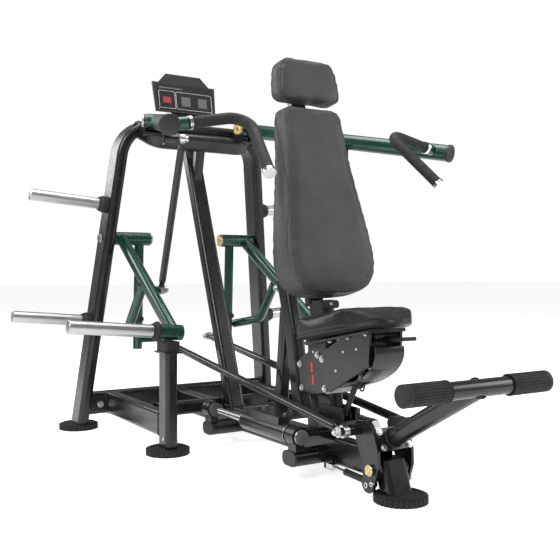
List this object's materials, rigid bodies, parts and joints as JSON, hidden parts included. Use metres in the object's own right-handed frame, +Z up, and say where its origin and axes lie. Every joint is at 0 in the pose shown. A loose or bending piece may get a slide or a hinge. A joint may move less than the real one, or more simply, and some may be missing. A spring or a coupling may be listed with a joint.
{
  "type": "shoulder press machine",
  "caption": "Plate-loaded shoulder press: two converging press arms, sliding seat and back rest, and a foot bar that helps lift the weight arms.",
  "frame": {"origin": "middle of the footprint on the floor", "axes": "+Z up, -Y the way the seated user faces, +X the user's left"},
  "size_m": [1.5662, 2.0519, 1.615],
  "materials": {
    "frame_paint": "satin charcoal powder coat",
    "green_paint": "metallic dark green powder coat",
    "housing_paint": "satin black powder coat",
    "chrome": "polished",
    "steel": "turned",
    "zinc": "zinc plated",
    "black_rubber": "matt ribbed",
    "grey_rubber": "matt",
    "black_plastic": "matt",
    "white_nylon": "matt",
    "red_mark": "glossy",
    "pad_leather": "grained, matt",
    "seat_leather": "grained, matt",
    "board": "black stained"
  },
  "bodies": {
    "frame": {"rear_arch": "frame_paint", "rear_crossbar": "frame_paint", "post_bumpers": "black_rubber", "floor_pads": "black_rubber", "main_beam": "frame_paint", "cross_member": "frame_paint", "front_column": "frame_paint", "end_caps": "black_plastic", "guide_rods": "chrome", "rod_holders": "frame_paint", "rod_bumpers": "grey_rubber", "spine": "frame_paint", "head_bow": "frame_paint", "pivot_shafts": "steel", "storage_horns": "chrome", "horn_collars": "black_rubber", "placard": "black_plastic", "placard_bracket": "frame_paint", "frame_bolts": "zinc", "side_frame_left": "frame_paint", "side_frame_right": "frame_paint"},
    "carriage": {"bearing_housings": "housing_paint", "carriage_frame": "frame_paint", "back_pad": "pad_leather", "head_pad": "pad_leather", "pad_boards": "board"},
    "seat": {"seat_plates": "frame_paint", "seat_guides": "white_nylon", "seat_cover": "frame_paint", "seat_pan": "frame_paint", "seat_pad": "seat_leather", "seat_bolts": "zinc", "seat_marks": "red_mark"},
    "seat_lever": {"release_lever": "black_plastic"},
    "seat_spring_tube": {"seat_spring_tube": "black_plastic"},
    "seat_spring_rod": {"seat_spring_rod": "chrome"},
    "rocker": {"rocker_plates": "frame_paint", "foot_bar": "frame_paint", "foot_sleeves": "black_rubber", "rocker_bolts": "zinc"},
    "damper_tube": {"damper_tube": "black_plastic"},
    "damper_rod": {"damper_rod": "chrome"},
    "press_left": {"press_arm_left": "green_paint", "press_grip_left": "black_rubber", "grip_trim_left": "chrome"},
    "link_left": {"link_rod_left": "frame_paint"},
    "weight_left": {"weight_arm_left": "green_paint", "weight_horn_left": "chrome", "weight_collar_left": "black_rubber"},
    "assist_left": {"assist_lever_left": "green_paint"},
    "tie_left": {"tie_rod_left": "frame_paint"},
    "press_right": {"press_arm_right": "green_paint", "press_grip_right": "black_rubber", "grip_trim_right": "chrome"},
    "link_right": {"link_rod_right": "frame_paint"},
    "weight_right": {"weight_arm_right": "green_paint", "weight_horn_right": "chrome", "weight_collar_right": "black_rubber"},
    "assist_right": {"assist_lever_right": "green_paint"},
    "tie_right": {"tie_rod_right": "frame_paint"}
  },
  "joints": [
    {"name": "weight_arm_pivot_left", "type": "hinge", "parent": "frame", "child": "weight_left", "pos_m": [0.31, 0.85, 0.842], "axis": [-1, 0, 0], "range_deg": [0, 31.4]},
    {"name": "press_arm_pivot_left", "type": "hinge", "parent": "frame", "child": "press_left", "pos_m": [0.222, 0.665, 1.345], "axis": [-0.9326, -0.361, 0], "range_deg": [0, 26]},
    {"name": "link_top_pivot_left", "type": "hinge", "parent": "press_left", "child": "link_left", "pos_m": [0.345, 0.145, 1.188], "axis": [-0.717, -0.6422, 0.2713], "range_deg": [-25.3, 0]},
    {"name": "weight_arm_pivot_right", "type": "hinge", "parent": "frame", "child": "weight_right", "pos_m": [-0.31, 0.85, 0.842], "axis": [-1, 0, 0], "range_deg": [0, 31.4]},
    {"name": "press_arm_pivot_right", "type": "hinge", "parent": "frame", "child": "press_right", "pos_m": [-0.222, 0.665, 1.345], "axis": [-0.9326, 0.361, 0], "range_deg": [0, 26]},
    {"name": "link_top_pivot_right", "type": "hinge", "parent": "press_right", "child": "link_right", "pos_m": [-0.345, 0.145, 1.188], "axis": [-0.717, 0.6422, -0.2713], "range_deg": [-25.3, 0]},
    {"name": "foot_rocker_pivot", "type": "hinge", "parent": "frame", "child": "rocker", "pos_m": [0, -0.622, 0.092], "axis": [1, 0, 0], "range_deg": [0, 26], "stiffness_Nm_per_rad": 60, "springref_deg": -68.75},
    {"name": "assist_lever_pivot_left", "type": "hinge", "parent": "frame", "child": "assist_left", "pos_m": [0.228, 0.85, 0.842], "axis": [-1, 0, 0], "range_deg": [0, 6.8]},
    {"name": "tie_front_pivot_left", "type": "hinge", "parent": "rocker", "child": "tie_left", "pos_m": [0.128, -0.56, 0.206], "axis": [1, 0, 0], "range_deg": [-26.9, 0]},
    {"name": "assist_lever_pivot_right", "type": "hinge", "parent": "frame", "child": "assist_right", "pos_m": [-0.228, 0.85, 0.842], "axis": [-1, 0, 0], "range_deg": [0, 6.8]},
    {"name": "tie_front_pivot_right", "type": "hinge", "parent": "rocker", "child": "tie_right", "pos_m": [-0.128, -0.56, 0.206], "axis": [1, 0, 0], "range_deg": [-26.9, 0]},
    {"name": "damper_tube_pivot", "type": "hinge", "parent": "rocker", "child": "damper_tube", "pos_m": [-0.046, -0.602, 0.042], "axis": [1, 0, 0], "range_deg": [-29.4, 0]},
    {"name": "damper_rod_slide", "type": "slide", "parent": "damper_tube", "child": "damper_rod", "axis": [0, 0.999, 0.0442], "range_m": [-0.021, 0]},
    {"name": "carriage_slide", "type": "slide", "parent": "frame", "child": "carriage", "axis": [0, 1, 0], "range_m": [0, 0.22]},
    {"name": "seat_height_slide", "type": "slide", "parent": "carriage", "child": "seat", "axis": [0, 0.158, 0.9874], "range_m": [-0.04, 0.02]},
    {"name": "seat_spring_pivot", "type": "hinge", "parent": "carriage", "child": "seat_spring_tube", "pos_m": [0, -0.392, 0.222], "axis": [1, 0, 0], "range_deg": [-4.3, 8.6]},
    {"name": "seat_spring_slide", "type": "slide", "parent": "seat_spring_tube", "child": "seat_spring_rod", "axis": [0, -0.5075, 0.8617], "range_m": [-0.0296, 0.0148]},
    {"name": "release_lever_pivot", "type": "hinge", "parent": "seat", "child": "seat_lever", "pos_m": [0.026, -0.5, 0.475], "axis": [-1, 0, 0], "range_deg": [0, 6], "stiffness_Nm_per_rad": 6, "springref_deg": -8.59}
  ],
  "couplings": [
    {"joint": "press_arm_pivot_left", "follows": "weight_arm_pivot_left", "ratio": 0.82706},
    {"joint": "link_top_pivot_left", "follows": "weight_arm_pivot_left", "ratio": -0.79853},
    {"joint": "press_arm_pivot_right", "follows": "weight_arm_pivot_right", "ratio": 0.82706},
    {"joint": "link_top_pivot_right", "follows": "weight_arm_pivot_right", "ratio": -0.79853},
    {"joint": "assist_lever_pivot_left", "follows": "foot_rocker_pivot", "ratio": 0.2575},
    {"joint": "tie_front_pivot_left", "follows": "foot_rocker_pivot", "ratio": -1.0281},
    {"joint": "assist_lever_pivot_right", "follows": "foot_rocker_pivot", "ratio": 0.2575},
    {"joint": "tie_front_pivot_right", "follows": "foot_rocker_pivot", "ratio": -1.0281},
    {"joint": "damper_tube_pivot", "follows": "foot_rocker_pivot", "ratio": -1.1245},
    {"joint": "damper_rod_slide", "follows": "foot_rocker_pivot", "m_per_rad": -0.046045},
    {"joint": "seat_spring_pivot", "follows": "seat_height_slide", "rad_per_m": -3.719},
    {"joint": "seat_spring_slide", "follows": "seat_height_slide", "ratio": 0.73867}
  ]
}
